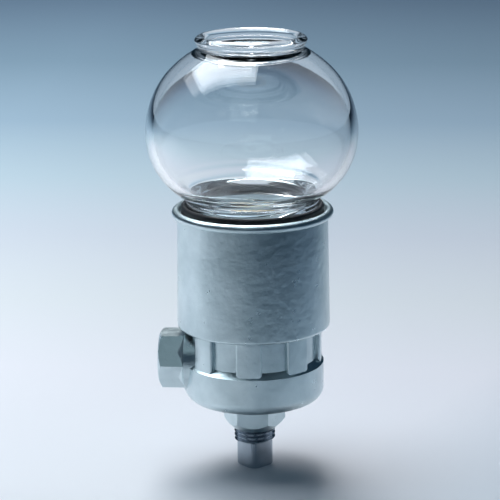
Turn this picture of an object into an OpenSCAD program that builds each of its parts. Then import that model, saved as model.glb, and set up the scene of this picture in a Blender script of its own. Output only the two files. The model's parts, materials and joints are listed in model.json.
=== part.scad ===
// Constant level oiler: an inverted glass reservoir in a hooded casting that stands
// on a screw-adjusted crossarm inside a surge bowl.
// Millimetres, +Z up, origin on the vertical axis at the underside of the drain plug.

/* [Pipe connections] */
// Tap drill diameter of the pipe ports
port_d = 11.1; // [9:0.1:12]
// Major diameter of the drain plug's pipe thread
plug_thread_d = 13.7; // [12.5:0.1:15]
// Gap all round between a thread and its hole
thread_gap = 0.05; // [0.02:0.01:0.1]
// Across flats of the hexagon pipe bosses
boss_af = 17.8; // [16.5:0.1:20]
// Chamfer on the free edge of the side boss
boss_chamfer = 0.5; // [0.3:0.1:1.2]
// Width of the fillet where the side boss meets the bowl
boss_fillet = 2.2; // [0.8:0.1:2.4]
// Land left round the plug at the coned end of the bottom boss
bottom_boss_land = 0.3; // [0.2:0.1:1]
// Height of the bottom boss below the bowl
bottom_boss_h = 10.6; // [8:0.1:13]
// Distance of the side port's face from the axis
side_port_reach = 31.4; // [29:0.1:34]
// Height of the side port's axis above the bowl's underside
side_port_up = 13; // [11:0.1:15]

/* [Drain plug] */
// Across flats of the plug's square head
plug_head_af = 9.5; // [8:0.1:11]
// Radius that rounds the corners of the plug's head
plug_corner_r = 5.95; // [5.6:0.05:6.2]
// Chamfer under the corners of the plug's head
plug_head_edge = 0.4; // [0.2:0.1:1.2]
// Height of the plug's square head
plug_head_h = 8.7; // [7:0.1:12]
// Length of plug thread that stays exposed
plug_shown_h = 4.7; // [3:0.1:7]
// Length of plug thread inside the boss
plug_held_h = 7; // [5:0.1:8]

/* [Surge bowl] */
// Radius of the lower cup
cup_r = 23.2; // [22.5:0.1:24.5]
// Height of the lower cup up to its ledge
cup_h = 12.7; // [11:0.1:15]
// Radius of the cup's lower edge
cup_edge_r = 4; // [2:0.1:5]
// Height of the sloped ledge
ledge_h = 1.8; // [1:0.1:2.5]
// Thickness of the bowl's floor
bowl_floor_t = 3; // [2.5:0.1:4]
// Radius of the wall in the channels between pads
channel_r = 20.9; // [20:0.1:21.5]
// Thickness of the bowl's wall at a channel
bowl_wall = 2.3; // [1.8:0.1:2.8]
// Height of the wall above the ledge
bowl_wall_h = 27.5; // [22:0.1:29]
// Radius of the fillet at the bowl's floor
bowl_fillet = 2.5; // [1:0.1:4]

/* [Raised pads] */
// Number of pads round the bowl
pad_count = 8; // [6:1:10]
// Share of the pitch that a pad covers
pad_share = 0.5; // [0.4:0.02:0.6]
// Height of a pad above the channel
pad_rise = 1.6; // [1:0.1:2]
// Radius of a pad's lower corners
pad_corner_r = 2; // [1:0.1:2.5]
// Radius of a pad's rounded edges
pad_edge_r = 0.7; // [0.3:0.1:0.9]
// Height of a pad's foot above the ledge's lower edge
pad_foot_up = 0.3; // [0.1:0.1:1]
// Distance of a pad's top below the wall's top
pad_top_drop = 1.5; // [0.5:0.1:3]

/* [Level screw] */
// Width of the bridge that carries the post
bridge_w = 7.5; // [7:0.1:9]
// Height of the bridge above the bowl's floor
bridge_h = 5; // [4:0.1:6]
// Diameter of the threaded post
post_d = 6.35; // [5:0.05:6.5]
// Free length of post above the level crossarm
post_above_h = 9.5; // [9:0.1:14]
// Depth of the screwdriver slot in the post
post_slot_d = 1.5; // [0.8:0.1:2]
// Width of the screwdriver slot in the post
post_slot_w = 1.2; // [0.8:0.1:1.6]
// Gap between the bridge and the lock crossarm
arm_above_bridge = 2.5; // [2.3:0.1:4]
// Thickness of each crossarm's hub
arm_hub_t = 3.5; // [2.5:0.1:4]
// Radius of each crossarm's hub
arm_hub_r = 8.2; // [7.5:0.1:9]
// Thickness of each crossarm's wings
arm_wing_t = 2.4; // [1.5:0.1:2.4]
// Width of each crossarm's wings
arm_wing_w = 6.5; // [5:0.1:8]
// Reach of each crossarm's wings from the axis
arm_reach = 15; // [12:0.1:16.5]

/* [Feed spout] */
// Outer diameter of the spout tube
spout_d = 13; // [12:0.1:14]
// Wall of the spout tube
spout_wall = 1.3; // [1:0.1:1.6]
// Reach of the spout below the hood's web
spout_reach = 32.2; // [30:0.1:36]
// Share of the tip's width left square for the seat
spout_seat_share = 0.3; // [0.2:0.05:0.5]
// Width of the spout's flange beyond the tube
spout_flange_w = 2.5; // [1.5:0.1:4]
// Thickness of the spout's flange
spout_flange_t = 1.2; // [0.8:0.1:1.5]
// Gap all round between the spout and its hole
spout_gap = 0.03; // [0.02:0.01:0.08]

/* [Hood casting] */
// Gap between the pads and the inside of the skirt at its lower edge
hood_gap = 1; // [0.6:0.1:3]
// Draft of the skirt, from its lower edge up to the bead
skirt_draft = 0.6; // [0:0.1:1.2]
// Thickness of the skirt
skirt_wall = 1.8; // [1.2:0.1:2]
// Radius of the skirt's lower outer edge
skirt_edge_r = 0.9; // [0.3:0.1:1]
// Depth of the hood below its web
hood_depth = 24.5; // [22:0.1:25]
// Thickness of the web under the glass
web_t = 2.8; // [2:0.1:4]
// Depth of the boss under the web
web_boss_h = 4; // [2:0.1:6]
// Wall of the boss under the web
web_boss_w = 2.5; // [1.5:0.1:4]
// Height of the rim above the web
socket_h = 12.5; // [11.5:0.1:15]
// Radius of the rolled bead's section
bead_r = 1.4; // [1:0.1:1.6]
// Wall of the rim round the black seal
rim_wall = 1.1; // [0.8:0.1:1.5]
// Distance that the bead stands out from the rim's wall
bead_out = 1.9; // [1.2:0.1:2.4]

/* [Glass and seals] */
// Radius of the globe at its widest
globe_r = 34.6; // [33.5:0.1:38]
// Height of the globe's widest point above the rim
globe_mid_up = 25; // [24:0.1:28]
// Half height of the globe above its widest point
globe_up_h = 31.7; // [28:0.1:34]
// Half height of the globe below its widest point
globe_down_h = 28; // [26:0.1:30]
// Fullness of the globe's sides, from that of an ellipse at 0 to its half height at 1
globe_full = 0.3; // [0.1:0.05:0.6]
// Thickness of the globe's wall
glass_wall = 2.5; // [2:0.1:3.5]
// Radius of the glass neck under its thread
neck_r = 20.4; // [19.5:0.1:20.8]
// Wall of the glass neck
neck_wall = 2.6; // [2:0.1:3]
// Radius of the collar above the neck
collar_r = 21.7; // [21.3:0.1:22]
// Outer radius of the foot ring on top of the glass
foot_r = 18.2; // [17:0.1:20]
// Width of the foot ring
foot_w = 2.9; // [2.2:0.1:3.5]
// Height of the foot ring above the glass base
foot_h = 4.8; // [3.5:0.1:6]
// Thickness of the glass base
base_t = 2.8; // [2:0.1:4]
// Rise of the dome in the middle of the glass base
base_dome_h = 0.9; // [0.3:0.1:1.5]
// Radius of the dome in the middle of the glass base
base_dome_r = 9.8; // [4:0.1:12]
// Radius of the round pip on top of that dome
base_pip_r = 1.3; // [0.8:0.1:2]
// Thickness of the flat seal at the glass mouth
mouth_seal_t = 1.5; // [1:0.1:2.5]
// Width of the black seal at the rim
rim_seal_w = 1.7; // [1.2:0.1:1.8]
// Height of the black seal at the rim
rim_seal_h = 4.5; // [3.5:0.1:5.5]
// Distance that the black seal rises above the rim
rim_seal_rise = 1.4; // [0.5:0.1:2]
// Gap between the neck and its socket, taken up by the glass thread
neck_gap = 1.7; // [1.4:0.1:1.8]
// Clearance at each glass and seal seat
seat_gap = 0.05; // [0.02:0.01:0.1]

/* [Hidden] */
$fn = 96;

// A cut reaches this far past the face it opens
cut = 1;
// Pieces of one casting overlap by this much where they join
join = 0.5;
// Turn of a hexagon that brings a corner in place of a flat
hex_turn = 30;
// Slope of the chamfer on the side boss
side_boss_slope = 30;
// Slope of the cone at the end of the bottom boss
bottom_boss_slope = 45;
// Slope of the cut at the spout's tip
spout_slope = 45;

// Heights of the fixed pieces, from the plug upwards
z_boss = plug_head_h + plug_shown_h;
z_cup = z_boss + bottom_boss_h;
z_ledge = z_cup + cup_h;
z_channel = z_ledge + ledge_h;
z_wall_top = z_channel + bowl_wall_h;
z_floor = z_cup + bowl_floor_t;
z_bridge = z_floor + bridge_h;
z_side_port = z_cup + side_port_up;

// Heights of the level screw and of what stands on it
z_lock = z_bridge + arm_above_bridge;
z_level = z_lock + arm_hub_t;
z_tip = z_level + arm_hub_t;
z_post_top = z_tip + post_above_h;
z_web = z_tip + spout_reach;
z_skirt = z_web - hood_depth;
z_web_top = z_web + web_t;
z_rim = z_web_top + socket_h;
z_bead = z_rim - bead_r;

// Heights of the glass and its seals
z_mouth = z_web_top + mouth_seal_t;
z_seal = z_rim + rim_seal_rise - rim_seal_h;
z_globe = z_rim + globe_mid_up;
z_base = z_globe + oval_h(globe_r, globe_up_h, foot_r);
z_glass_top = z_base + foot_h;

// Radii that follow from the driving sizes
port_r = port_d / 2;
plug_hole_r = plug_thread_d / 2 + thread_gap;
bowl_r = channel_r - bowl_wall;
pad_r = channel_r + pad_rise;
skirt_r = pad_r + hood_gap + skirt_wall;
skirt_top_r = skirt_r - skirt_draft;
post_r = post_d / 2;
post_hole_r = post_r + thread_gap;
spout_r = spout_d / 2;
spout_bore_r = spout_r - spout_wall;
socket_r = neck_r + neck_gap;
seal_r = collar_r + seat_gap;
rim_r = seal_r + rim_seal_w + seat_gap;
bead_mid_r = rim_r + rim_wall + bead_out - bead_r;
neck_bore_r = neck_r - neck_wall;

// Rectangle from corner to corner
module box2(x0, y0, x1, y1) {
    translate([x0, y0]) square([x1 - x0, y1 - y0]);
}

// Triangle from the axis out along +X, with two sides of length l at half_a either way
module wedge2(l, half_a) {
    polygon([[0, 0], l * [cos(half_a), sin(half_a)], l * [cos(half_a), -sin(half_a)]]);
}

// Section of a filled drum whose lower outer edge is rounded
module drum2(r, z0, z1, edge) {
    box2(0, z0, r - edge, z1);
    box2(0, z0 + edge, r, z1);
    translate([r - edge, z0 + edge]) circle(r = edge);
}

// Hexagon bar along +Z whose far end is coned down to a radius at a slope
module hex_bar(af, h, end_r, slope) {
    corner_r = af / 2 / cos(hex_turn);
    cone_h = (corner_r - end_r) * tan(slope);
    intersection() {
        cylinder(r = corner_r, h = h, $fn = 6);
        union() {
            cylinder(r = corner_r + join, h = h - cone_h);
            translate([0, 0, h - cone_h]) cylinder(r1 = corner_r, r2 = end_r, h = cone_h);
        }
    }
}

// Round collar along +Z with a hollow fillet down to the boss it surrounds
module boss_collar(r, h, fillet) {
    rotate_extrude() difference() {
        box2(0, 0, r + fillet, h + fillet);
        translate([r + fillet, h + fillet]) circle(r = fillet);
    }
}

// Radius of the arc at the side of an oval of half width a and half height b
function oval_side_r(a, b) = b * b / a + globe_full * (b - b * b / a);

// Radius of the flatter arc across that oval's axis, which runs on smoothly from its side
function oval_flat_r(a, b) =
    let (side_r = oval_side_r(a, b))
    (b * b + pow(a - side_r, 2) - side_r * side_r) / (2 * (b - side_r));

// Height of that flatter arc above the oval's middle, at a distance r from the axis
function oval_h(a, b, r) =
    let (flat_r = oval_flat_r(a, b))
    b - flat_r + sqrt(flat_r * flat_r - r * r);

// Quarter of that oval
module oval_quarter2(a, b) {
    side_r = oval_side_r(a, b);
    side_x = a - side_r;
    flat_r = oval_flat_r(a, b);
    joint_a = atan2(flat_r - b, side_x);
    intersection() {
        union() {
            translate([side_x, 0]) circle(r = side_r);
            intersection() {
                translate([0, b - flat_r]) circle(r = flat_r);
                square([side_x + side_r * cos(joint_a), b]);
            }
        }
        square([2 * a, 2 * b]);
    }
}

// Half section of the filled globe, made smaller all round by the inset
module globe2(inset) {
    translate([0, z_globe]) {
        oval_quarter2(globe_r - inset, globe_up_h - inset);
        mirror([0, 1]) oval_quarter2(globe_r - inset, globe_down_h - inset);
    }
}

module reservoir_globe() {
    collar_foot_z = z_seal - seat_gap;
    z_ceiling = z_base - base_t;
    dome_r = (pow(base_dome_r, 2) + pow(base_dome_h, 2)) / (2 * base_dome_h);
    color([0.82, 0.88, 0.92, 0.45])
    rotate_extrude() difference() {
        union() {
            intersection() {
                globe2(0);
                box2(0, z_mouth, 2 * globe_r, z_base);
            }
            polygon([
                [0, z_mouth], [neck_r, z_mouth], [neck_r, collar_foot_z],
                [collar_r, collar_foot_z + collar_r - neck_r], [collar_r, z_globe], [0, z_globe]]);
            foot_ring2();
            intersection() {
                translate([0, z_base + base_dome_h - dome_r]) circle(r = dome_r);
                box2(0, z_base - join, foot_r - foot_w, z_glass_top);
            }
            intersection() {
                translate([0, z_base + base_dome_h]) circle(r = base_pip_r);
                box2(0, z_base, base_pip_r, z_glass_top);
            }
        }
        intersection() {
            globe2(glass_wall);
            box2(0, z_mouth, 2 * globe_r, z_ceiling);
        }
        box2(0, z_mouth - cut, neck_bore_r, z_globe);
    }
}

// Section of the foot ring, with a round top
module foot_ring2() {
    ring_mid_r = foot_r - foot_w / 2;
    box2(foot_r - foot_w, z_base - join, foot_r, z_glass_top - foot_w / 2);
    translate([ring_mid_r, z_glass_top - foot_w / 2]) circle(d = foot_w);
}

// Black ring in the recess of the rim, with a rounded top
module rim_seal() {
    top_r = rim_seal_w / 2;
    color([0.05, 0.05, 0.06])
    rotate_extrude() {
        box2(seal_r, z_seal, seal_r + rim_seal_w, z_seal + rim_seal_h - top_r);
        translate([seal_r + top_r, z_seal + rim_seal_h - top_r]) circle(r = top_r);
    }
}

// Flat ring under the mouth of the glass
module mouth_seal() {
    color([0.12, 0.11, 0.1])
    rotate_extrude() box2(neck_bore_r, z_web_top, neck_r + neck_gap / 2, z_mouth);
}

// Section of the hood: skirt, web, socket for the glass and rolled bead
module hood2() {
    difference() {
        union() {
            polygon([
                [skirt_r - skirt_wall, z_skirt], [skirt_r - skirt_edge_r, z_skirt],
                [skirt_r, z_skirt + skirt_edge_r], [skirt_top_r, z_bead], [0, z_bead],
                [0, z_web], [skirt_top_r - skirt_wall, z_web]]);
            translate([skirt_r - skirt_edge_r, z_skirt + skirt_edge_r]) circle(r = skirt_edge_r);
            box2(0, z_web, rim_r + rim_wall, z_bead);
            box2(0, z_bead - bead_r / 2, bead_mid_r, z_bead);
            translate([bead_mid_r, z_bead]) circle(r = bead_r);
            box2(0, z_web - web_boss_h, spout_r + spout_gap + web_boss_w, z_web + join);
        }
        // socket for the neck, and recess for the black seal
        box2(0, z_web_top, socket_r, z_rim + cut);
        box2(0, z_seal, rim_r, z_rim + cut);
    }
}

module upper_casting() {
    color([0.74, 0.77, 0.8])
    difference() {
        rotate_extrude() hood2();
        translate([0, 0, z_web - web_boss_h - cut])
            cylinder(r = spout_r + spout_gap, h = web_boss_h + web_t + 2 * cut);
    }
}

// Tube with a flange on the web and a tip cut away at a slope above its seat
module feed_spout() {
    seat_x = spout_r - spout_d * spout_seat_share;
    slope_l = 2 * spout_d;
    color([0.78, 0.66, 0.36])
    difference() {
        union() {
            translate([0, 0, z_tip]) cylinder(r = spout_r, h = z_web_top + spout_flange_t - z_tip);
            translate([0, 0, z_web_top]) cylinder(r = spout_r + spout_flange_w, h = spout_flange_t);
        }
        translate([0, 0, z_tip - cut])
            cylinder(r = spout_bore_r, h = z_web_top + spout_flange_t - z_tip + 2 * cut);
        translate([seat_x, 0, z_tip]) rotate([0, spout_slope, 0])
            translate([-slope_l, -spout_d, -slope_l]) cube([slope_l, 2 * spout_d, slope_l]);
    }
}

// Section of the bowl's outside: cup, sloped ledge and channel wall
module bowl_outside2() {
    drum2(cup_r, z_cup, z_ledge, cup_edge_r);
    polygon([[0, z_ledge - join], [cup_r, z_ledge - join], [cup_r, z_ledge], [channel_r, z_channel],
             [channel_r, z_wall_top], [0, z_wall_top]]);
}

// Plan of one raised pad, centred on +X, with rounded outer edges
module pad_plan2() {
    half_a = 180 / pad_count * pad_share;
    edge_mid_r = pad_r - pad_edge_r;
    edge_a = half_a - asin(pad_edge_r / edge_mid_r);
    difference() {
        union() {
            wedge2(edge_mid_r, half_a);
            intersection() {
                circle(r = pad_r);
                wedge2(2 * pad_r, edge_a);
            }
            for (a = [-edge_a, edge_a])
                rotate(a) translate([edge_mid_r, 0]) circle(r = pad_edge_r);
        }
        circle(r = channel_r - join);
    }
}

// One raised pad: a panel with rounded lower corners that stands on the ledge
module pad() {
    half_w = pad_r * sin(180 / pad_count * pad_share);
    z0 = z_ledge + pad_foot_up;
    z1 = z_wall_top - pad_top_drop;
    intersection() {
        translate([0, 0, z0]) linear_extrude(z1 - z0) pad_plan2();
        rotate([90, 0, 90]) linear_extrude(pad_r + cut) {
            box2(-half_w - cut, z0 + pad_corner_r, half_w + cut, z1 + cut);
            box2(-half_w + pad_corner_r, z0 - cut, half_w - pad_corner_r, z1 + cut);
            for (x = [-1, 1])
                translate([x * (half_w - pad_corner_r), z0 + pad_corner_r]) circle(r = pad_corner_r);
        }
    }
}

// Bar across the bowl's floor that carries the post above the bottom port
module bridge() {
    difference() {
        intersection() {
            translate([0, 0, z_floor - join]) cylinder(r = bowl_r + join, h = bridge_h + join);
            translate([-bridge_w / 2, -cup_r, z_floor]) cube([bridge_w, 2 * cup_r, bridge_h]);
        }
        translate([0, 0, z_floor - cut]) cylinder(r = post_hole_r, h = bridge_h + 2 * cut);
    }
}

module lower_casting() {
    color([0.7, 0.74, 0.78]) {
        difference() {
            union() {
                rotate_extrude() bowl_outside2();
                for (i = [0 : pad_count - 1]) rotate(i * 360 / pad_count - 90) pad();
                translate([0, 0, z_cup + join]) mirror([0, 0, 1])
                    hex_bar(boss_af, bottom_boss_h + join, plug_hole_r + bottom_boss_land, bottom_boss_slope);
                translate([0, 0, z_side_port]) rotate([0, -90, 0]) {
                    rotate(hex_turn)
                        hex_bar(boss_af, side_port_reach, boss_af / 2 - boss_chamfer, side_boss_slope);
                    boss_collar(boss_af / 2, cup_r - join, boss_fillet);
                }
            }
            // inside of the bowl
            rotate_extrude() drum2(bowl_r, z_floor, z_wall_top + cut, bowl_fillet);
            // side port
            translate([0, 0, z_side_port]) rotate([0, -90, 0])
                cylinder(r = port_r, h = side_port_reach + cut);
            // bottom port, opened out where the plug's thread is held
            translate([0, 0, z_boss - cut]) cylinder(r = plug_hole_r, h = plug_held_h + thread_gap + cut);
            translate([0, 0, z_boss]) cylinder(r = port_r, h = z_floor - z_boss + cut);
        }
        bridge();
    }
}

// Threaded post in the bridge, with a screwdriver slot on top
module level_post() {
    color([0.62, 0.62, 0.6])
    difference() {
        translate([0, 0, z_floor]) cylinder(r = post_r, h = z_post_top - z_floor);
        translate([-post_d, -post_slot_w / 2, z_post_top - post_slot_d])
            cube([2 * post_d, post_slot_w, post_slot_d + cut]);
    }
}

// Winged nut on the post
module crossarm() {
    wing_mid = arm_reach - arm_wing_w / 2;
    difference() {
        union() {
            cylinder(r = arm_hub_r, h = arm_hub_t);
            linear_extrude(arm_wing_t) {
                box2(-wing_mid, -arm_wing_w / 2, wing_mid, arm_wing_w / 2);
                for (x = [-1, 1])
                    translate([x * wing_mid, 0]) circle(d = arm_wing_w);
            }
        }
        translate([0, 0, -cut]) cylinder(r = post_hole_r, h = arm_hub_t + 2 * cut);
    }
}

module level_crossarm() {
    color([0.8, 0.68, 0.38]) translate([0, 0, z_level]) crossarm();
}

module lock_crossarm() {
    color([0.76, 0.64, 0.36]) translate([0, 0, z_lock]) rotate(90) crossarm();
}

// Square-head pipe plug
module drain_plug() {
    color([0.42, 0.46, 0.5]) {
        intersection() {
            cylinder(r = plug_head_af / 2 / cos(45), h = plug_head_h + join, $fn = 4);
            rotate_extrude() polygon([
                [0, 0], [plug_corner_r - plug_head_edge, 0], [plug_corner_r, plug_head_edge],
                [plug_corner_r, plug_head_h + join], [0, plug_head_h + join]]);
        }
        translate([0, 0, plug_head_h])
            cylinder(r = plug_thread_d / 2, h = plug_shown_h + plug_held_h);
    }
}

reservoir_globe();
rim_seal();
mouth_seal();
upper_casting();
feed_spout();
lower_casting();
level_post();
level_crossarm();
lock_crossarm();
drain_plug();
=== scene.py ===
"""Looks of a constant level oiler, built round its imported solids.

The profiles of the two rebuilt pieces are in millimetres, in the part's own frame, and MM turns
them into metres. Materials, floor, lamps and camera are in metres.
"""

import json
import math

import bmesh
import bpy
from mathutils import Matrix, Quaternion, Vector


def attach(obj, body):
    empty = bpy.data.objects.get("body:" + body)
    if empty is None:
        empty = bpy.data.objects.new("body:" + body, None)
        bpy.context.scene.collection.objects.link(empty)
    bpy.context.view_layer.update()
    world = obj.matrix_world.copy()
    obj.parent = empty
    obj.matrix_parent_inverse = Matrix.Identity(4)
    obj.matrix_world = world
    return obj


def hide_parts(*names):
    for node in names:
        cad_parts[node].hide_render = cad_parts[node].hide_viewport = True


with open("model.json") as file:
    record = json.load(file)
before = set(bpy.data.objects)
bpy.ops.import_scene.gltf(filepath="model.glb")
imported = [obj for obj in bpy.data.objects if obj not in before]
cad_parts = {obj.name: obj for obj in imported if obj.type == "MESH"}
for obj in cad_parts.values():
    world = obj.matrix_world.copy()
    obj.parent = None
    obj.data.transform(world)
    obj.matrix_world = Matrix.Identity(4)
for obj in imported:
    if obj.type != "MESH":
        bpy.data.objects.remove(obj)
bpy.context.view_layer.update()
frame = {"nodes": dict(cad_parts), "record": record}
nodes = frame["nodes"]

MM = 0.001
TURN = 2 * math.pi
NEAR = 0.01  # slack for telling radii apart
POLE_R = 1e-6  # a profile's point nearer to the axis than this is a pole


# Glass bottle, in millimetres. The globe is an oval above and another below its widest height.

GLOBE_R, GLOBE_UP, GLOBE_DOWN, GLOBE_Z = 34.6, 31.7, 28, 114
GLOBE_FULL = 0.3  # how much rounder the oval's side is than an ellipse's
GLASS_WALL, BASE_T = 2.5, 2.8
GLASS_SEGMENTS, GLASS_SHARP = 216, 80
UP_STEPS, DOWN_STEPS, INSIDE_UP_STEPS, INSIDE_DOWN_STEPS = 30, 32, 30, 50

# Foot ring: a bead on a waist, round a recess with a low dome and a pip
FOOT_R, FOOT_W, FOOT_H = 18.2, 3.6, 4.79
BEAD_H, BEAD_POWER, BEAD_STEPS = 3.0, 4 / 3, 52  # a power above 1 narrows the bead's upper half
BEAD_FROM, BEAD_TO = 212, -48  # degrees, from the recess over the top to the waist
WAIST_IN, WAIST_UP, WAIST_OUT, WAIST_ROUND, WAIST_STEPS = 0.8, 0.7, 0.9, 1.0, 10
RECESS_IN, RECESS_OUT, RECESS_UP, RECESS_ROUND, RECESS_STEPS = 0.2, 0.45, 1.5, 0.8, 8
DOME_H, DOME_R, DOME_ROUND = 0.9, 9.8, 6
PIP_R, PIP_RIM, PIP_SINK, PIP_STEPS = 1.3, 0.4, 0.85, 8

# Collar, neck and mouth
COLLAR_R, COLLAR_EASE, COLLAR_TOP, COLLAR_NEXT = 21.7, 0.4, 0.5, 0.6
NECK_R, NECK_TOP, NECK_SLOPE, NECK_ROUND, NECK_STEPS = 20.4, 85.85, 1.3, 0.8, 4
NECK_ROW, NECK_LOW, NECK_HIGH = 0.3, 0.9, 0.6
MOUTH_Z, MOUTH_OUT, MOUTH_IN, MOUTH_ROUND, MOUTH_STEPS = 78, 0.8, 0.9, 0.7, 5
BORE_R, BORE_LOW, BORE_ROW = 17.8, 1, 0.5
THROAT_OUT, THROAT_H, THROAT_STEPS = 0.6, 2.5, 4
ROOF_DOME, ROOF_STEPS = 0.5, 6

# One turn of thread on the neck, which runs out over an angle at its ends
RIDGE_H, RIDGE_W, RIDGE_PITCH, RIDGE_LOW, RIDGE_RUNOUT = 1.15, 0.8, 4.2, 1.6, 0.3

# Waves inside blown glass, over a range of heights and a soft length beyond it
RIPPLE, RIPPLE_RANGE = 0.6, (85, 96, 3)
SWIRL_PITCH, SWIRL_WOBBLE = 3.3, 0.1
SWIRL_2_PITCH, SWIRL_2_SHARE = 4.7, 0.5
SWIRL_EVEN, SWIRL_UNEVEN = 0.7, 0.3


# Square-head plug, in millimetres

PLUG_AF, PLUG_HEAD, PLUG_TOP = 9.5, 8.7, 20.4
PLUG_SEGMENTS, PLUG_SHARP = 240, 40
CORNER_R, CORNER_POWER = 5.95, 24  # the higher the power, the sharper the square's corners
END_ROWS, END_FLAT_R, END_R, END_UP, END_ROUND, END_STEPS = (0, 2, 4), 4.5, 5.55, 0.4, 0.2, 4
PITCH, THREAD_R, THREAD_ROOT, ROWS_PER_PITCH = 1.411, 6.85, 5.75, 12
ROOT_FLAT, FLANK = 0.12, 0.76  # shares of half a pitch
THREAD_GAP, THREAD_LOW, THREAD_RUNOUT = 0.05, 0.6, 0.5
TOP_R = 3


# Materials. Noise scales are waves to the metre, bump depths are metres.

CLOUD_SCALE, ROUGH_SCALE = 90, 220
NOISE_DETAIL, GRAIN_DETAIL, SMOOTH_DETAIL = 4, 3, 2
NOISE_DARK, NOISE_LIGHT = 0.3, 0.7  # noise that takes the dark and the light colour

# Dark and light colour, range of roughness, then the grain's scale, strength and depth
METALS = {
    "die_cast": ((0.5, 0.6, 0.63), (0.66, 0.76, 0.79), (0.23, 0.37), 420, 0.55, 0.00021),
    "brass": ((0.52, 0.44, 0.27), (0.68, 0.6, 0.42), (0.25, 0.4), 900, 0.1, 0.00005),
    "steel": ((0.4, 0.41, 0.43), (0.56, 0.57, 0.59), (0.22, 0.36), 900, 0.1, 0.00005),
    "plug_steel": ((0.32, 0.37, 0.42), (0.48, 0.54, 0.6), (0.16, 0.26), 1200, 0.2, 0.00005),
}

# The hood's inside under the glass is dull and pale: its radius, its lower end and its tint
DULL_R, DULL_Z = 0.0223, 0.0745
DULL_TINT = (1.0, 1.02, 1.08)

GLASS_IOR = 1.5
GLASS_SHADE = (0.97, 0.98, 0.985, 1)  # what a surface of the glass passes of a lamp's light
GLASS_WAVE_SCALE, GLASS_WAVE, GLASS_WAVE_DEPTH = 60, 0.06, 0.0006

RUBBER_DARK, RUBBER_LIGHT = (0.003, 0.004, 0.006), (0.008, 0.01, 0.013)
RUBBER_SCALE, RUBBER_ROUGH, RUBBER_SHINE = 300, (0.35, 0.5), 0.2
RUBBER_GRAIN_SCALE, RUBBER_GRAIN, RUBBER_GRAIN_DEPTH = 2500, 0.1, 0.00003


# Stage, light and camera, in metres, degrees and watts

# The floor's colour is pale near the part and holds painted shade: it darkens with depth, to the right
# and, bluish, to the right-hand corner, in place of the lamps' falloff and of a darker surround for
# the metal to reflect
FLOOR_HALF, FLOOR_ROUGH = 4.0, 0.9
DEPTH_RANGE, SIDE_RANGE, CORNER_RANGE, CORNER_SLANT = (-0.3, 1.3), (-0.3, 0.4), (0, 0.5), -0.5
FLOOR_COLOUR_AND_DEPTH_SHADE = [
    (0.0, (0.42, 0.46, 0.5)), (0.17, (0.87, 0.88, 0.92)), (0.25, (0.8, 0.8, 0.85)),
    (0.31, (0.67, 0.7, 0.73)), (0.38, (0.53, 0.57, 0.63)), (0.46, (0.39, 0.48, 0.54)),
    (0.56, (0.25, 0.34, 0.42)), (0.7, (0.17, 0.25, 0.32)), (1.0, (0.11, 0.17, 0.25)),
]
FLOOR_SIDE_SHADE = [(0.14, (1, 1, 1)), (0.36, (0.86, 0.86, 0.86)), (0.5, (0.83, 0.83, 0.84))]
FLOOR_CORNER_SHADE = [
    (0.06, (1, 1, 1)), (0.3, (0.66, 0.75, 0.8)), (0.5, (0.32, 0.42, 0.5)), (0.7, (0.17, 0.24, 0.31)),
]

# Name, place, aim, size, watts, colour, and whether it lights more than gloss and glass
LAMPS = [
    ("key_softbox", (-0.165, 0.75, 1.0), (-0.165, 0.75, 0), (0.47, 0.9), 10.8, (1, 0.99, 0.98), True),
    ("wide_softbox", (-0.4, 0.3, 1.02), (-0.4, 0.3, 0), (0.94, 1.0), 9.2, (0.87, 0.99, 1.07), True),
    ("gloss_wide", (-0.55, 0.36, 1.03), (-0.55, 0.36, 0), (1.2, 0.88), 5.6, (0.93, 0.99, 1.04), False),
    ("gloss_core", (-0.4, 0.29, 1.04), (-0.4, 0.29, 0), (0.8, 0.62), 2.8, (0.97, 0.99, 1.02), False),
    ("front_card", (-0.08, -0.75, 0.78), (0, 0, 0.05), (0.5, 0.5), 0.3, (0.75, 0.95, 1), True),
]

# The world's colour and strength, first as it is and then as it shows through glass
WORLD_COLOUR, WORLD_STRENGTH = (0.25, 0.6, 1), 0.06
WORLD_COLOUR_IN_GLASS, WORLD_STRENGTH_IN_GLASS = (0.56, 0.74, 0.92), 0.6

CAMERA_AIM, CAMERA_DISTANCE = (0, 0, 0.0744), 0.672
CAMERA_AZIMUTH, CAMERA_ELEVATION, CAMERA_ROLL = 4.5, 14.7, -0.57
SENSOR_MM, LENS_MM = 36, 147
SHIFT_X = -3 / 500  # three of the photograph's 500 pixels
CLIP = 0.01, 20


# Mesh helpers

def fillet(points, radii, steps):
    """A polyline whose inner corners are rounded by the radii, one for each point."""
    out = []
    for i, p in enumerate(points):
        r = radii[i]
        if not r or i in (0, len(points) - 1):
            out.append(tuple(p))
            continue
        p = Vector(p)
        a = (Vector(points[i - 1]) - p).normalized()
        b = (Vector(points[i + 1]) - p).normalized()
        half = a.angle(b) / 2
        back = r / math.tan(half)
        centre = p + (a + b).normalized() * (r / math.sin(half))
        start, end = p + a * back - centre, p + b * back - centre
        swing = start.angle_signed(end)
        for k in range(steps + 1):
            t = -swing * k / steps
            c, s = math.cos(t), math.sin(t)
            out.append((centre.x + start.x * c - start.y * s, centre.y + start.x * s + start.y * c))
    return out


def arc(centre, radius, a0, a1, steps):
    """Points on a circle from angle a0 to a1, in degrees."""
    out = []
    for k in range(steps + 1):
        a = math.radians(a0 + (a1 - a0) * k / steps)
        out.append((centre[0] + radius * math.cos(a), centre[1] + radius * math.sin(a)))
    return out


def spread(z0, z1, step):
    """Heights from z0 to z1, at most one step apart."""
    count = math.ceil((z1 - z0) / step)
    return [z0 + (z1 - z0) * k / count for k in range(count + 1)]


def wave(turns):
    """A smooth wave from 0 to 1 and back in each turn."""
    return 0.5 - 0.5 * math.cos(TURN * turns)


def window(value, low, high, soft):
    """1 between low and high, falling smoothly to 0 over the soft length outside them."""
    edge = min(value - low, high - value) / soft + 1
    edge = min(max(edge, 0), 1)
    return edge * edge * (3 - 2 * edge)


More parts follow.
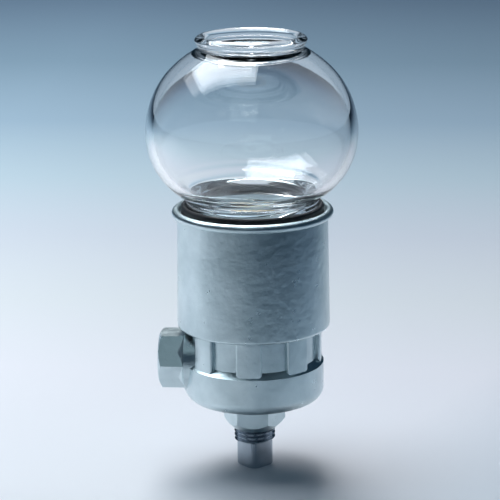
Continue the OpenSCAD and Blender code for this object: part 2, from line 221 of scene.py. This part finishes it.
def link(name, verts, faces, sharp):
    """A new mesh object, smooth but for edges sharper than the given angle."""
    mesh = bpy.data.meshes.new(name)
    mesh.from_pydata([[c * MM for c in v] for v in verts], [], faces)
    mesh.validate()
    tool = bmesh.new()
    tool.from_mesh(mesh)
    bmesh.ops.recalc_face_normals(tool, faces=tool.faces)
    tool.to_mesh(mesh)
    tool.free()
    mesh.shade_smooth()
    mesh.set_sharp_from_angle(angle=math.radians(sharp))
    obj = bpy.data.objects.new(name, mesh)
    bpy.context.scene.collection.objects.link(obj)
    return obj


def lathe(name, profile, segments, bend, sharp):
    """Turns a profile of (r, z) about the Z axis. Points with r of 0 become poles.

    bend(r, z, angle, row) gives the radius of each point, as for a thread.
    """
    verts, rows, faces = [], [], []
    for row, (r, z) in enumerate(profile):
        if r < POLE_R:
            rows.append([len(verts)] * segments)
            verts.append((0, 0, z))
            continue
        rows.append(list(range(len(verts), len(verts) + segments)))
        for k in range(segments):
            a = TURN * k / segments
            q = bend(r, z, a, row)
            verts.append((q * math.cos(a), q * math.sin(a), z))
    for low, high in zip(rows, rows[1:]):
        for k in range(segments):
            n = (k + 1) % segments
            face = []
            for v in (low[k], low[n], high[n], high[k]):
                if v not in face:
                    face.append(v)
            if len(face) > 2:
                faces.append(face)
    return link(name, verts, faces, sharp)


# Node helpers

def new_material(name, **sockets):
    """A material, its node tree and its shader, with values set on the shader's own sockets."""
    mat = bpy.data.materials.new(name)
    mat.use_nodes = True
    shader = mat.node_tree.nodes["Principled BSDF"]
    for key, value in sockets.items():
        shader.inputs[key.replace("_", " ")].default_value = value
    return mat, mat.node_tree, shader


def add(tree, kind, **values):
    """A new node, with each value set on the socket or else the property of that name."""
    node = tree.nodes.new("ShaderNode" + kind)
    for key, value in values.items():
        if key in node.inputs:
            node.inputs[key].default_value = value
        else:
            setattr(node, key, value)
    return node


def calculate(tree, operation, *values):
    """The result of a Math node on numbers and other nodes' outputs."""
    node = add(tree, "Math", operation=operation)
    for socket, value in zip(node.inputs, values):
        if isinstance(value, (int, float)):
            socket.default_value = value
        else:
            tree.links.new(value, socket)
    return node.outputs["Value"]


def place_on(tree):
    """The X, Y and Z of a point in the object's own metres."""
    split = add(tree, "SeparateXYZ")
    tree.links.new(add(tree, "TexCoord").outputs["Object"], split.inputs["Vector"])
    return split.outputs["X"], split.outputs["Y"], split.outputs["Z"]


def noise(tree, scale, detail=NOISE_DETAIL):
    """Noise in the object's own metres, so that its grain has a real size."""
    grain = add(tree, "TexNoise", Scale=scale, Detail=detail)
    tree.links.new(add(tree, "TexCoord").outputs["Object"], grain.inputs["Vector"])
    return grain.outputs["Fac"]


def ramp(tree, factor, stops):
    """A colour for a factor, from stops of place and colour."""
    node = add(tree, "ValToRGB")
    elements = node.color_ramp.elements
    while len(elements) < len(stops):
        elements.new(0.5)
    for element, (place, colour) in zip(elements, stops):
        element.position = place
        element.color = (*colour, 1)
    tree.links.new(factor, node.inputs["Fac"])
    return node.outputs["Color"]


def remap(tree, value, source=(0, 1), target=(0, 1)):
    """A value taken from one range to another, and held inside it."""
    node = add(tree, "MapRange")
    sockets = "From Min", "From Max", "To Min", "To Max"
    for socket, number in zip(sockets, (*source, *target)):
        node.inputs[socket].default_value = number
    tree.links.new(value, node.inputs["Value"])
    return node.outputs["Result"]


def bump(tree, shader, height, strength, distance):
    """Bends the shader's normal by a height."""
    node = add(tree, "Bump", Strength=strength, Distance=distance)
    tree.links.new(height, node.inputs["Height"])
    tree.links.new(node.outputs["Normal"], shader.inputs["Normal"])


def times(tree, a, b):
    """The product of two colours."""
    node = add(tree, "Mix", data_type="RGBA", blend_type="MULTIPLY")
    node.inputs["Factor"].default_value = 1.0
    tree.links.new(a, node.inputs["A"])
    tree.links.new(b, node.inputs["B"])
    return node.outputs["Result"]


def hollow(tree, radius, height):
    """1 near the axis and above a height, 0 elsewhere."""
    x, y, z = place_on(tree)
    flat = add(tree, "CombineXYZ")
    tree.links.new(x, flat.inputs["X"])
    tree.links.new(y, flat.inputs["Y"])
    from_axis = add(tree, "VectorMath", operation="LENGTH")
    tree.links.new(flat.outputs["Vector"], from_axis.inputs[0])
    near = calculate(tree, "LESS_THAN", from_axis.outputs["Value"], radius)
    high = calculate(tree, "GREATER_THAN", z, height)
    return calculate(tree, "MULTIPLY", near, high)


# Materials

def metal(name, dark, light, rough, grain, strength, depth, dull=None):
    """Mottled metal with a grain. Inside dull, a radius and a height, it is no mirror."""
    mat, tree, shader = new_material(name, Metallic=1.0)
    colour = ramp(tree, noise(tree, CLOUD_SCALE), [(NOISE_DARK, dark), (NOISE_LIGHT, light)])
    if dull:
        inside = hollow(tree, *dull)
        tree.links.new(remap(tree, inside, target=(1, 0)), shader.inputs["Metallic"])
        colour = times(tree, colour, ramp(tree, inside, [(0, (1, 1, 1)), (1, DULL_TINT)]))
    tree.links.new(colour, shader.inputs["Base Color"])
    tree.links.new(remap(tree, noise(tree, ROUGH_SCALE), target=rough), shader.inputs["Roughness"])
    bump(tree, shader, noise(tree, grain, GRAIN_DETAIL), strength, depth)
    return mat


def glass(name):
    """Clear, slightly wavy glass that lets the lamps' light through."""
    mat, tree, shader = new_material(
        name, Base_Color=(1, 1, 1, 1), Roughness=0.0, IOR=GLASS_IOR, Transmission_Weight=1.0)
    waves = noise(tree, GLASS_WAVE_SCALE, SMOOTH_DETAIL)
    bump(tree, shader, waves, GLASS_WAVE, GLASS_WAVE_DEPTH)
    through = add(tree, "BsdfTransparent", Color=GLASS_SHADE)
    path, mix = add(tree, "LightPath"), add(tree, "MixShader")
    tree.links.new(path.outputs["Is Shadow Ray"], mix.inputs["Fac"])
    tree.links.new(shader.outputs["BSDF"], mix.inputs[1])
    tree.links.new(through.outputs["BSDF"], mix.inputs[2])
    tree.links.new(mix.outputs["Shader"], tree.nodes["Material Output"].inputs["Surface"])
    return mat


def rubber(name):
    """Black moulded rubber."""
    mat, tree, shader = new_material(name, Specular_IOR_Level=RUBBER_SHINE)
    cloud = noise(tree, RUBBER_SCALE)
    colour = ramp(tree, cloud, [(NOISE_DARK, RUBBER_DARK), (NOISE_LIGHT, RUBBER_LIGHT)])
    tree.links.new(colour, shader.inputs["Base Color"])
    tree.links.new(remap(tree, cloud, target=RUBBER_ROUGH), shader.inputs["Roughness"])
    grain = noise(tree, RUBBER_GRAIN_SCALE, SMOOTH_DETAIL)
    bump(tree, shader, grain, RUBBER_GRAIN, RUBBER_GRAIN_DEPTH)
    return mat


LOOKS = {"clear_glass": glass("clear_glass"), "black_rubber": rubber("black_rubber")}
for slot_name, values in METALS.items():
    dull_zone = (DULL_R, DULL_Z) if slot_name == "die_cast" else None
    LOOKS[slot_name] = metal(slot_name, *values, dull=dull_zone)


def dress(obj, slot):
    """Gives an object the material of a slot."""
    obj.data.materials.clear()
    obj.data.materials.append(LOOKS[slot])


for part in frame["record"]["subparts"]:
    dress(nodes[part["node"]], part["material_slot"])


# Pieces that stand for plainer solids

def oval(a, b):
    """Side radius, flat radius and the angle of the joint of an oval of two smooth arcs."""
    side = b * b / a + GLOBE_FULL * (b - b * b / a)
    flat = (b * b + (a - side) ** 2 - side * side) / (2 * (b - side))
    return side, flat, math.degrees(math.atan2(flat - b, a - side))


def oval_rise(a, b, r):
    """Height of the oval's flat arc above its middle, at a distance r from the axis."""
    flat = oval(a, b)[1]
    return b - flat + math.sqrt(flat * flat - r * r)


def oval_arc(a, b, r, up, steps):
    """Points of the oval from its widest point to the radius r, upwards or downwards."""
    side, flat, joint = oval(a, b)
    end = math.degrees(math.acos(r / flat))
    points = arc((a - side, 0), side, 0, joint, steps)
    points += arc((0, b - flat), flat, joint, end, steps)[1:]
    return [(x, GLOBE_Z + (y if up else -y)) for x, y in points]


def foot_profile(base_z):
    """Pip, recess, bead and waist of the foot ring, from the axis outwards."""
    ring, ring_in, top_z = FOOT_W / 2, FOOT_R - FOOT_W, base_z + FOOT_H
    points = arc((0, base_z + DOME_H), PIP_R, 90, 0, PIP_STEPS)
    points += fillet(
        [(PIP_R + PIP_RIM, base_z + DOME_H * PIP_SINK), (DOME_R, base_z),
         (ring_in - RECESS_IN, base_z), (ring_in + RECESS_OUT, base_z + RECESS_UP)],
        [0, DOME_ROUND, RECESS_ROUND, 0], RECESS_STEPS)
    for r, z in arc((0, 0), 1, BEAD_FROM, BEAD_TO, BEAD_STEPS):
        power = BEAD_POWER if z > 0 else 1
        across, up = math.copysign(abs(r) ** power, r), math.copysign(abs(z) ** power, z)
        points.append((FOOT_R - ring + ring * across, top_z - BEAD_H / 2 + BEAD_H / 2 * up))
    waist_r = FOOT_R + WAIST_OUT
    waist = [points[-1], (FOOT_R - WAIST_IN, base_z + WAIST_UP),
             (waist_r, GLOBE_Z + oval_rise(GLOBE_R, GLOBE_UP, waist_r))]
    return points + fillet(waist, [0, WAIST_ROUND, 0], WAIST_STEPS)[1:-1]


def side_profile():
    """Outside of the globe, its collar and its neck, from the waist down."""
    points = oval_arc(GLOBE_R, GLOBE_UP, FOOT_R + WAIST_OUT, True, UP_STEPS)[::-1]
    points += oval_arc(GLOBE_R, GLOBE_DOWN, COLLAR_R + COLLAR_EASE, False, DOWN_STEPS)[1:]
    shoulder_z = GLOBE_Z - oval_rise(GLOBE_R, GLOBE_DOWN, COLLAR_R)
    points.append((COLLAR_R, shoulder_z - COLLAR_TOP))
    points += fillet(
        [(COLLAR_R, shoulder_z - COLLAR_NEXT), (COLLAR_R, NECK_TOP + NECK_SLOPE),
         (NECK_R, NECK_TOP), (NECK_R, MOUTH_Z)],
        [0, NECK_ROUND, NECK_ROUND, 0], NECK_STEPS)[:-1]
    rows = spread(MOUTH_Z + NECK_LOW, NECK_TOP - NECK_HIGH, NECK_ROW)
    return points + [(NECK_R, z) for z in rows[::-1]]


def mouth_profile():
    """The rounded mouth, from the neck to the bore."""
    return fillet(
        [(NECK_R, MOUTH_Z + MOUTH_OUT), (NECK_R, MOUTH_Z),
         (BORE_R, MOUTH_Z), (BORE_R, MOUTH_Z + MOUTH_IN)],
        [0, MOUTH_ROUND, MOUTH_ROUND, 0], MOUTH_STEPS)


def inside_profile(base_z):
    """Bore, throat, inside of the globe and its roof, from the mouth up to the axis."""
    r, up, down = GLOBE_R - GLASS_WALL, GLOBE_UP - GLASS_WALL, GLOBE_DOWN - GLASS_WALL
    throat_r = BORE_R + THROAT_OUT
    bore_top = GLOBE_Z - oval_rise(r, down, throat_r) - THROAT_H
    points = [(BORE_R, z) for z in spread(MOUTH_Z + BORE_LOW, bore_top, BORE_ROW)]
    for k in range(1, THROAT_STEPS):
        points.append((BORE_R + THROAT_OUT * k * k / THROAT_STEPS ** 2,
                       bore_top + THROAT_H * k / THROAT_STEPS))
    points += oval_arc(r, down, throat_r, False, INSIDE_DOWN_STEPS)[::-1]
    ceiling_z, flat = base_z - BASE_T, oval(r, up)[1]
    roof_r = math.sqrt(flat ** 2 - (ceiling_z - GLOBE_Z - up + flat) ** 2)
    points += oval_arc(r, up, roof_r, True, INSIDE_UP_STEPS)[1:]
    for k in range(ROOF_STEPS - 1, -1, -1):
        points.append((roof_r * k / ROOF_STEPS, ceiling_z + ROOF_DOME * (1 - (k / ROOF_STEPS) ** 2)))
    return points


def ridge(z, a):
    """How far the neck's thread stands out at a height and an angle."""
    turn = (z - MOUTH_Z - RIDGE_LOW) / RIDGE_PITCH - a / TURN
    rise = RIDGE_H * math.exp(-(turn * RIDGE_PITCH / RIDGE_W) ** 2)
    return rise * window(a, RIDGE_RUNOUT, TURN - RIDGE_RUNOUT, RIDGE_RUNOUT)


def ripple(z, a):
    """How far the waves inside the glass stand in at a height and an angle."""
    swirl = wave(z / SWIRL_PITCH - a / TURN + SWIRL_WOBBLE * math.sin(3 * a))
    swirl += SWIRL_2_SHARE * wave(z / SWIRL_2_PITCH - 2 * a / TURN)
    uneven = SWIRL_EVEN + SWIRL_UNEVEN * math.sin(2 * a + 1)
    return RIPPLE * window(z, *RIPPLE_RANGE) * swirl * uneven


def build_globe():
    """The glass bottle, with its foot ring, neck thread and wavy inside."""
    base_z = GLOBE_Z + oval_rise(GLOBE_R, GLOBE_UP, FOOT_R)
    outside = foot_profile(base_z) + side_profile() + mouth_profile()

    def bend(r, z, a, row):
        if row >= len(outside):
            return r - ripple(z, a)
        return r + (ridge(z, a) if r < NECK_R + NEAR else 0)

    profile = outside + inside_profile(base_z)
    return lathe("glass_bottle", profile, GLASS_SEGMENTS, bend, GLASS_SHARP)


def build_plug():
    """The plug, with a rounded square head and its thread."""
    head = [(r, 0) for r in END_ROWS] + fillet(
        [(END_FLAT_R, 0), (END_R, 0), (CORNER_R, END_UP), (CORNER_R, PLUG_HEAD)],
        [0, END_ROUND, END_ROUND, 0], END_STEPS)
    rows = spread(PLUG_HEAD + THREAD_GAP, PLUG_TOP, PITCH / ROWS_PER_PITCH)
    shank = [(THREAD_ROOT, z) for z in rows] + [(TOP_R, PLUG_TOP), (0, PLUG_TOP)]

    def bend(r, z, a, row):
        if row < len(head):
            half = (a % (TURN / 4)) - TURN / 8
            flat = PLUG_AF / 2 / math.cos(half)
            return 1.0 / (r ** -CORNER_POWER + flat ** -CORNER_POWER) ** (1 / CORNER_POWER)
        if r < THREAD_ROOT:
            return r
        crest = abs(((z / PITCH - a / TURN) % 1) * 2 - 1)
        rise = min(max((crest - ROOT_FLAT) / FLANK, 0), 1)
        ends = window(z, PLUG_HEAD + THREAD_LOW, PLUG_TOP, THREAD_RUNOUT)
        return THREAD_ROOT + (THREAD_R - THREAD_ROOT) * rise * ends

    return lathe("square_plug", head + shank, PLUG_SEGMENTS, bend, PLUG_SHARP)


def stand_for(piece, node, body, slot):
    """Dresses a piece and lets it take a CAD node's place on its body."""
    dress(piece, slot)
    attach(piece, body)
    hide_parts(node)


stand_for(build_globe(), "reservoir_globe", "reservoir", "clear_glass")
stand_for(build_plug(), "drain_plug", "base", "plug_steel")


# Stage, light and camera

def build_stage():
    """The floor."""
    e = FLOOR_HALF
    mesh = bpy.data.meshes.new("floor")
    mesh.from_pydata([(-e, -e, 0), (e, -e, 0), (e, e, 0), (-e, e, 0)], [], [(0, 1, 2, 3)])
    floor = bpy.data.objects.new("floor", mesh)
    bpy.context.scene.collection.objects.link(floor)
    mat, tree, shader = new_material("floor", Roughness=FLOOR_ROUGH, Specular_IOR_Level=0.0)
    x, y, _ = place_on(tree)
    # Painted shade: the depth, side and corner ramps darken the floor's colour away from the part
    slant = calculate(tree, "MULTIPLY_ADD", y, CORNER_SLANT, x)
    depth = ramp(tree, remap(tree, y, DEPTH_RANGE), FLOOR_COLOUR_AND_DEPTH_SHADE)
    side = ramp(tree, remap(tree, x, SIDE_RANGE), FLOOR_SIDE_SHADE)
    corner = ramp(tree, remap(tree, slant, CORNER_RANGE), FLOOR_CORNER_SHADE)
    tree.links.new(times(tree, times(tree, depth, side), corner), shader.inputs["Base Color"])
    mesh.materials.append(mat)


def add_light(name, place, aim, size, watts, colour, diffuse):
    """A rectangular lamp that points at its aim."""
    data = bpy.data.lights.new(name, "AREA")
    data.shape = "RECTANGLE"
    data.size, data.size_y = size
    data.energy = watts
    data.color = colour
    light = bpy.data.objects.new(name, data)
    light.location = place
    light.rotation_mode = "QUATERNION"
    light.rotation_quaternion = (Vector(aim) - Vector(place)).to_track_quat("-Z", "Y")
    light.visible_diffuse = diffuse
    bpy.context.scene.collection.objects.link(light)


def build_light():
    """The lamps and the world."""
    for lamp in LAMPS:
        add_light(*lamp)
    world = bpy.data.worlds.new("studio")
    world.use_nodes = True
    tree = world.node_tree
    background = tree.nodes["Background"]
    in_glass = add(tree, "LightPath").outputs["Is Transmission Ray"]
    colour = ramp(tree, in_glass, [(0, WORLD_COLOUR), (1, WORLD_COLOUR_IN_GLASS)])
    strength = remap(tree, in_glass, target=(WORLD_STRENGTH, WORLD_STRENGTH_IN_GLASS))
    tree.links.new(colour, background.inputs["Color"])
    tree.links.new(strength, background.inputs["Strength"])
    bpy.context.scene.world = world


def build_camera():
    """The camera at the photograph's viewing angle."""
    a, e = math.radians(CAMERA_AZIMUTH), math.radians(CAMERA_ELEVATION)
    back = Vector((math.sin(a) * math.cos(e), -math.cos(a) * math.cos(e), math.sin(e)))
    data = bpy.data.cameras.new("camera")
    data.sensor_width, data.lens = SENSOR_MM, LENS_MM
    data.shift_x = SHIFT_X
    data.clip_start, data.clip_end = CLIP
    camera = bpy.data.objects.new("camera", data)
    camera.location = Vector(CAMERA_AIM) + back * CAMERA_DISTANCE
    camera.rotation_mode = "QUATERNION"
    level = (-back).to_track_quat("-Z", "Y")
    camera.rotation_quaternion = level @ Quaternion((0, 0, 1), math.radians(CAMERA_ROLL))
    bpy.context.scene.collection.objects.link(camera)
    bpy.context.scene.camera = camera


build_stage()
build_light()
build_camera()
bpy.context.scene.view_settings.view_transform = "Standard"
